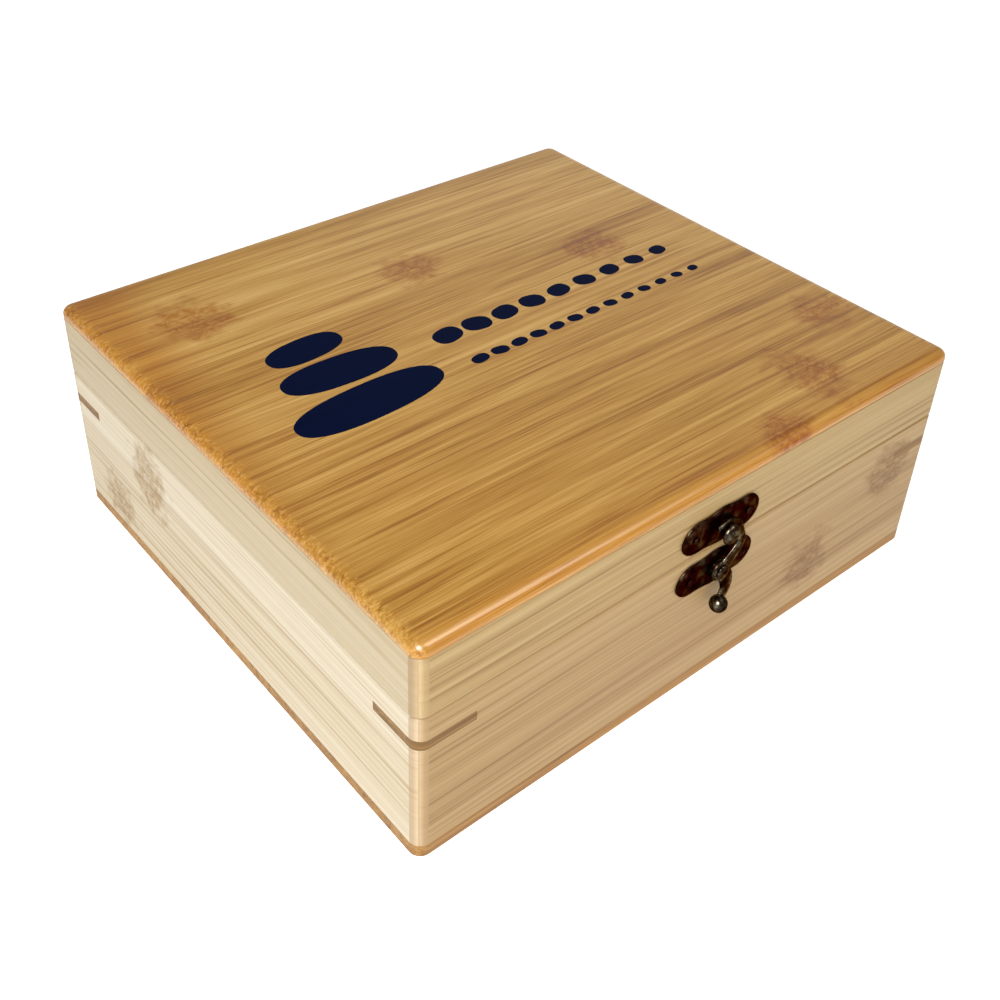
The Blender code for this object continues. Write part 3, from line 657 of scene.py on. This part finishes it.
curl_radius = knob_above_pivot + knob_post + hook_clearance + curl_half
shoulder = knob_post + hook_clearance + arm_half
curl = [(curl_radius * math.sin(math.radians(turn)), curl_radius * math.cos(math.radians(turn)), half)
        for turn, half in ((-11.0, 0.0010), (-4.0, 0.0012), (3.0, curl_half))]
arm = [*curl, (shoulder, knob_above_pivot + 0.0012, 0.0015),
       (shoulder + 0.0022, knob_above_pivot - 0.0034, 0.0017),
       (shoulder + 0.0032, knob_above_pivot - 0.0076, 0.0019), (0.0052, 0.0044, arm_half),
       (0.0012, 0.0008, 0.0026)]
tail = [(0.0012, -0.0008, 0.0028), (0.0034, -0.0048, 0.0027), (0.0040, -0.0086, 0.0024),
        (0.0027, -0.0116, 0.0021), (0.0003, -0.0128, 0.0017)]
boss = [(0.0, 0.0037), (0.0026, 0.0037), (0.0034, 0.0034), (0.0036, 0.0029), (0.0036, 0.0016), (0.0, 0.0016)]
ball_turns = np.linspace(0.0, math.pi, 17)
ball = np.stack([ball_radius * np.sin(ball_turns), ball_stand_off + ball_radius * np.cos(ball_turns)], -1)
hook = solid("swing_hook", [hook_band(arm), hook_band(tail), turned(boss, 0.0, base_plate_z, 40),
                            turned(ball, tail[-1][0], base_plate_z + tail[-1][1], 32)],
             cast_look, "hook", ["latch_hook"])
cast = hook.modifiers.new("cast", 'REMESH')
cast.mode = 'VOXEL'
cast.voxel_size = 0.00017
soft = hook.modifiers.new("soft", 'SMOOTH')
soft.factor = 0.5
soft.iterations = 6
bpy.context.view_layer.update()
hook.data = bpy.data.meshes.new_from_object(hook.evaluated_get(bpy.context.evaluated_depsgraph_get()))
hook.modifiers.clear()
hook.data.shade_smooth()

# ---- Hinges ---------------------------------------------------------------------------------------------
# Two small butt hinges on the back boards, plated like the latch. Each leaf is a stamped strip that is
# rolled once round the steel pin to make its knuckles, and two round-headed nails hold it.

hinge_look = bronze("hinge_bronze", (0.006, 0.004, 0.003), (0.030, 0.012, 0.007), (0.100, 0.080, 0.052), 0.18)
back_face = half_depth
pin_low, pin_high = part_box("hinge_pin_left")
axis_y, axis_z = (pin_low.y + pin_high.y) / 2, (pin_low.z + pin_high.z) / 2
pin_radius = (pin_high.z - pin_low.z) / 2
barrel_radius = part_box("hinge_lid_leaf_left")[1].y - axis_y
strip_thickness = 0.00085
barrel_clearance = 0.0003
middle_knuckle = 0.0104
stamped_ease = 0.00018
strip_past_pin = 0.0008       # how far a knuckle's strip runs on beyond the barrel, into the leaf
leaf_recess = 0.00002         # a leaf's flat faces lie this far inside its knuckles' strips
leaf_corner, leaf_square = 0.0020, 0.0005
pin_crown = 0.0003


def knuckle(x_low, x_high, upward):
    """Rings of a knuckle along the pin: the strip runs straight to the pin, then 318 degrees round it."""
    turns = np.radians(np.linspace(0.0, 318.0, 32))[:, None]
    way = np.concatenate([-np.cos(turns), -np.sin(turns)], axis=1)
    straight = barrel_radius + strip_past_pin
    rings = []
    for x, ease in ((x_low, stamped_ease), (x_low + stamped_ease, 0.0), (x_high - stamped_ease, 0.0),
                    (x_high, stamped_ease)):
        outer, inner = barrel_radius - ease, barrel_radius - strip_thickness + ease
        line = np.concatenate([[(-outer, straight)], outer * way, inner * way[::-1], [(-inner, straight)]])
        across, up = line.T
        rings.append(np.column_stack([np.full(len(line), x), axis_y + across, axis_z + upward * up]))
    return np.array(rings)


def leaf_plate(x_low, x_high, z_low, z_high, upward):
    """Rings of a leaf's flat part from its back to its face, drawn in along a quarter circle at its face."""
    t = np.linspace(0.0, math.pi / 2, 5)
    back = axis_y - barrel_radius + leaf_recess
    face = back + strip_thickness - 2 * leaf_recess
    levels = [(0.0, back), *zip(stamped_ease * (1 - np.cos(t)), face - stamped_ease * (1 - np.sin(t)))]
    rings = []
    for inset, y in levels:
        round_end, square_end = leaf_corner - inset, leaf_square - inset
        radii = (square_end, square_end, round_end, round_end) if upward > 0 else (
            round_end, round_end, square_end, square_end)
        flat = rounded_rectangle((x_low + inset, z_low + inset), (x_high - inset, z_high - inset), radii, 7)
        rings.append(np.column_stack([flat[:, 0], np.full(len(flat), y), flat[:, 1]]))
    return np.array(rings)


for hand in ("left", "right"):
    low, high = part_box(f"hinge_pin_{hand}")
    t = np.linspace(0.0, math.pi / 2, 6)
    dome = np.stack([pin_radius * np.sin(t), pin_crown * np.cos(t)], -1)
    radius, beyond_end = np.concatenate([dome, dome[::-1] * (1, -1)]).T[:, :, None]
    along = np.where(np.arange(len(radius)) < len(dome), high.x, low.x)[:, None] + beyond_end
    turns = np.linspace(0.0, 2 * math.pi, 28, endpoint=False)
    pin = np.stack([along * np.ones(28), axis_y + radius * np.cos(turns),
                    axis_z + radius * np.sin(turns)], -1)
    solid(f"steel_pin_{hand}", [pin], hinge_look, "base", [f"hinge_pin_{hand}"])
    middle_x, half_middle = (low.x + high.x) / 2, middle_knuckle / 2
    for part_of, upward, stretches in (
        ("lid", 1, [(-half_middle, half_middle)]),
        ("base", -1, [(low.x - middle_x, -half_middle - barrel_clearance),
                      (half_middle + barrel_clearance, high.x - middle_x)]),
    ):
        leaf_low, leaf_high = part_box(f"hinge_{part_of}_leaf_{hand}")
        near = axis_z + upward * (barrel_radius + barrel_clearance)
        z_low, z_high = (near, leaf_high.z) if upward > 0 else (leaf_low.z, near)
        bodies = [leaf_plate(leaf_low.x, leaf_high.x, z_low, z_high, upward)]
        bodies += [knuckle(middle_x + start, middle_x + end, upward) for start, end in stretches]
        solid(f"rolled_leaf_{part_of}_{hand}", bodies, hinge_look, part_of,
              [f"hinge_{part_of}_leaf_{hand}"])
        for number in (1, 2):
            name = f"hinge_nail_{part_of}_{hand}_{number}"
            low_nail, high_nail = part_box(name)
            profile = nail_profile(low_nail, high_nail, high_nail.y - back_face, 0.0006)
            x, z = (low_nail.x + high_nail.x) / 2, (low_nail.z + high_nail.z) / 2
            rings = turned(profile, x, z, 28, back_face, 1)
            solid(name.replace("nail", "tack"), [rings], cast_look, part_of, [name])

# ---- Foam liner -----------------------------------------------------------------------------------------
# A block of black closed-cell foam that fills the base, with a moulded pocket for each stone.

liner_low, liner_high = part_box("foam_liner")
stone_names = sorted(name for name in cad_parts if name.startswith("stone_"))
foam = bpy.data.materials.new("black_foam")
foam.use_nodes = True
foam_nodes = foam.node_tree.nodes
foam_place = add_node(foam_nodes, "ShaderNodeTexCoord").outputs["Object"]
cells = add_node(foam_nodes, "ShaderNodeTexVoronoi", {"Vector": foam_place, "Scale": 1400.0})
dust = grain(foam_nodes, foam_place, (60.0, 60.0, 60.0), 3.0)
foam_colour = ramp(foam_nodes, dust, (0.3, (0.010, 0.010, 0.011)), (0.7, (0.022, 0.022, 0.023)))
foam_shader = foam_nodes["Principled BSDF"]
foam.node_tree.links.new(foam_colour, foam_shader.inputs["Base Color"])
foam_shader.inputs["Roughness"].default_value = 0.85
foam_relief = add_node(foam_nodes, "ShaderNodeBump", {"Height": cells.outputs["Distance"],
                                                      "Strength": 0.5, "Distance": 0.0002})
foam.node_tree.links.new(foam_relief.outputs[0], foam_shader.inputs["Normal"])

levels = [(0.0006, liner_low.z), (0.0, liner_low.z + 0.0006), (0.0, liner_high.z - 0.0012),
          (0.0004, liner_high.z - 0.0004), (0.0012, liner_high.z), (0.0018, liner_high.z)]
liner_rings = []
for inset, height in levels:
    flat = rounded_rectangle((liner_low.x + inset, liner_low.y + inset),
                             (liner_high.x - inset, liner_high.y - inset), (0.0015,) * 4, 6)
    liner_rings.append(np.column_stack([flat, np.full(len(flat), height)]))
liner = solid("liner", [np.array(liner_rings)], foam, "base", ["foam_liner"])


def pocket(centre, half):
    """Rings of a pocket's room: the lower part of an ellipsoid, flared by a quarter circle at the top."""
    flare, above_liner = 0.0010, 0.002
    last = -math.asin((flare + centre.z - liner_high.z) / half.z)
    line = [(math.cos(t), centre.z + half.z * math.sin(t), 0.0) for t in np.linspace(-math.pi / 2, last, 14)]
    line += [(math.cos(last), liner_high.z - flare * (1 - math.sin(t)), flare * (1 - math.cos(t)))
             for t in np.linspace(0.0, math.pi / 2, 5)[1:]]
    line.append((math.cos(last), liner_high.z + above_liner, flare))
    turns = np.linspace(0.0, 2 * math.pi, 56, endpoint=False)
    share, height, grow = np.array(line).T[:, :, None]
    return np.stack([centre.x + (half.x * share + grow) * np.cos(turns),
                     centre.y + (half.y * share + grow) * np.sin(turns), height * np.ones(56)], -1)


pocket_clearance = Vector((0.0006, 0.0006, 0.0006))
for name in stone_names:
    low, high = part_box(name)
    room = pocket((low + high) / 2, (high - low) / 2 + pocket_clearance)
    cut_away(liner, [solid(f"pocket_{name}", [room], foam)])

# ---- Basalt stones --------------------------------------------------------------------------------------
# Eighteen river-worn basalt pebbles in four graded sizes, tumbled to a soft polish and lightly oiled.


def basalt(name):
    """Dark grey basalt: fine lighter specks of crystal, a few pores, and a soft polish."""
    made = bpy.data.materials.new(name)
    made.use_nodes = True
    nodes = made.node_tree.nodes
    shader = nodes["Principled BSDF"]
    place = add_node(nodes, "ShaderNodeTexCoord").outputs["Object"]
    clouds = grain(nodes, place, (70.0, 70.0, 70.0), 4.0)
    specks = grain(nodes, place, (1300.0, 1300.0, 1300.0), 2.0, 0.7)
    pores = add_node(nodes, "ShaderNodeTexVoronoi", {"Vector": place, "Scale": 420.0}).outputs["Distance"]
    colour = ramp(nodes, clouds, (0.3, (0.018, 0.019, 0.021)), (0.7, (0.036, 0.037, 0.039)))
    flecks = worked_out(nodes, "MULTIPLY", mask(nodes, specks, 0.60, 0.70), 0.35)
    colour = mixed(nodes, "MIX", flecks, colour, (0.12, 0.12, 0.115))
    nodes.id_data.links.new(colour, shader.inputs["Base Color"])
    polish = worked_out(nodes, "MULTIPLY_ADD", clouds, 0.25, 0.32)
    nodes.id_data.links.new(polish, shader.inputs["Roughness"])
    height = worked_out(nodes, "MULTIPLY_ADD", specks, 0.3, mask(nodes, pores, 0.06, 0.16))
    relief = add_node(nodes, "ShaderNodeBump", {"Height": height, "Strength": 0.3, "Distance": 0.00012})
    nodes.id_data.links.new(relief.outputs[0], shader.inputs["Normal"])
    return made


basalt_look = basalt("basalt_polished")
for number, name in enumerate(stone_names):
    low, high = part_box(name)
    centre, half = (low + high) / 2, (high - low) / 2
    chance = np.random.default_rng(40 + number)
    lean = chance.uniform(-0.02, 0.02, 2)
    wave = chance.uniform(0.005, 0.016, 3)
    phase = chance.uniform(0, 6.28, 3)
    up = np.linspace(-math.pi / 2, math.pi / 2, 41)[:, None]
    turns = np.linspace(0.0, 2 * math.pi, 72, endpoint=False)[None, :]
    uneven = (0.962 + wave[0] * np.cos(2 * turns + phase[0])
              + wave[1] * np.cos(3 * turns + phase[1]) * np.cos(up))
    flat = np.sign(np.cos(up)) * np.abs(np.cos(up)) ** 0.92
    rings = np.stack([
        centre.x + half.x * flat * np.cos(turns) * (uneven + lean[0] * np.sin(turns)),
        centre.y + half.y * flat * np.sin(turns) * (uneven + lean[1] * np.cos(turns)),
        centre.z + half.z * np.sin(up) * (0.985 + wave[2] * np.cos(turns + phase[2]) * np.cos(up) ** 2),
    ], -1)
    solid(f"pebble_{name[-2:]}", [rings], basalt_look, f"loose_{name}", [name])

# ---- Studio ---------------------------------------------------------------------------------------------
# A white floor and surround, a cool light from the left, a warmer one from the front right and a soft
# one behind. Two more only show as glints. The camera looks down at the front left corner.

scene = bpy.context.scene
world = bpy.data.worlds.new("surround")
scene.world = world
world.use_nodes = True
world.node_tree.nodes["Background"].inputs["Color"].default_value = (1.0, 0.985, 0.96, 1.0)
seen = add_node(world.node_tree.nodes, "ShaderNodeLightPath").outputs["Is Camera Ray"]
brightness = worked_out(world.node_tree.nodes, "MULTIPLY_ADD", seen, 0.60, 0.46)
world.node_tree.links.new(brightness, world.node_tree.nodes["Background"].inputs["Strength"])

floor_mesh = bpy.data.meshes.new("floor")
floor_mesh.from_pydata([(-6, -6, 0), (6, -6, 0), (6, 6, 0), (-6, 6, 0)], [], [(0, 1, 2, 3)])
floor = bpy.data.objects.new("floor", floor_mesh)
scene.collection.objects.link(floor)
floor_look = bpy.data.materials.new("white_floor")
floor_look.use_nodes = True
floor_shader = floor_look.node_tree.nodes["Principled BSDF"]
floor_shader.inputs["Base Color"].default_value = (0.90, 0.90, 0.90, 1.0)
floor_shader.inputs["Roughness"].default_value = 0.8
floor_shader.inputs["Emission Color"].default_value = (1.0, 1.0, 1.0, 1.0)
floor_shader.inputs["Emission Strength"].default_value = 0.50
floor_mesh.materials.append(floor_look)


def soft_light(name, place, aim, size, power, colour):
    """A square area light that points at a place."""
    lamp = bpy.data.lights.new(name, 'AREA')
    lamp.size = size
    lamp.energy = power
    lamp.color = colour
    light = bpy.data.objects.new(name, lamp)
    light.location = place
    light.rotation_euler = (light.location - Vector(aim)).to_track_quat('Z', 'Y').to_euler()
    scene.collection.objects.link(light)
    return light


soft_light("left_light", (-0.52, -0.43, 0.52), (0.0, 0.0, 0.04), 0.4, 4.4, (0.95, 0.98, 1.0))
soft_light("front_light", (0.28, -0.75, 0.72), (0.0, 0.0, 0.05), 0.30, 0.7, (1.0, 0.95, 0.86))
for name, place, size, power in (
    ("edge_glint", (0.29, -0.53, 0.83), 0.45, 6.0), ("corner_glint", (-0.48, -0.37, 0.67), 0.24, 11.0),
):
    glint = soft_light(name, place, (-0.05, -0.10, 0.07), size, power, (1.0, 0.97, 0.90))
    glint.visible_diffuse = False
soft_light("back_light", (0.92, 0.80, 0.56), (0.0, 0.0, 0.08), 0.9, 0.9, (1.0, 0.98, 0.93))

lens = bpy.data.cameras.new("camera")
lens.lens = 46.1627
lens.sensor_width = 36.0
lens.shift_x = 0.00335
lens.shift_y = -0.11082
camera = bpy.data.objects.new("camera", lens)
camera.location = (-0.23804, -0.27063, 0.30708)
camera.rotation_euler = [math.radians(turn) for turn in (55.1027, -1.9526, -39.7917)]
scene.collection.objects.link(camera)
scene.camera = camera
scene.view_settings.view_transform = 'Standard'
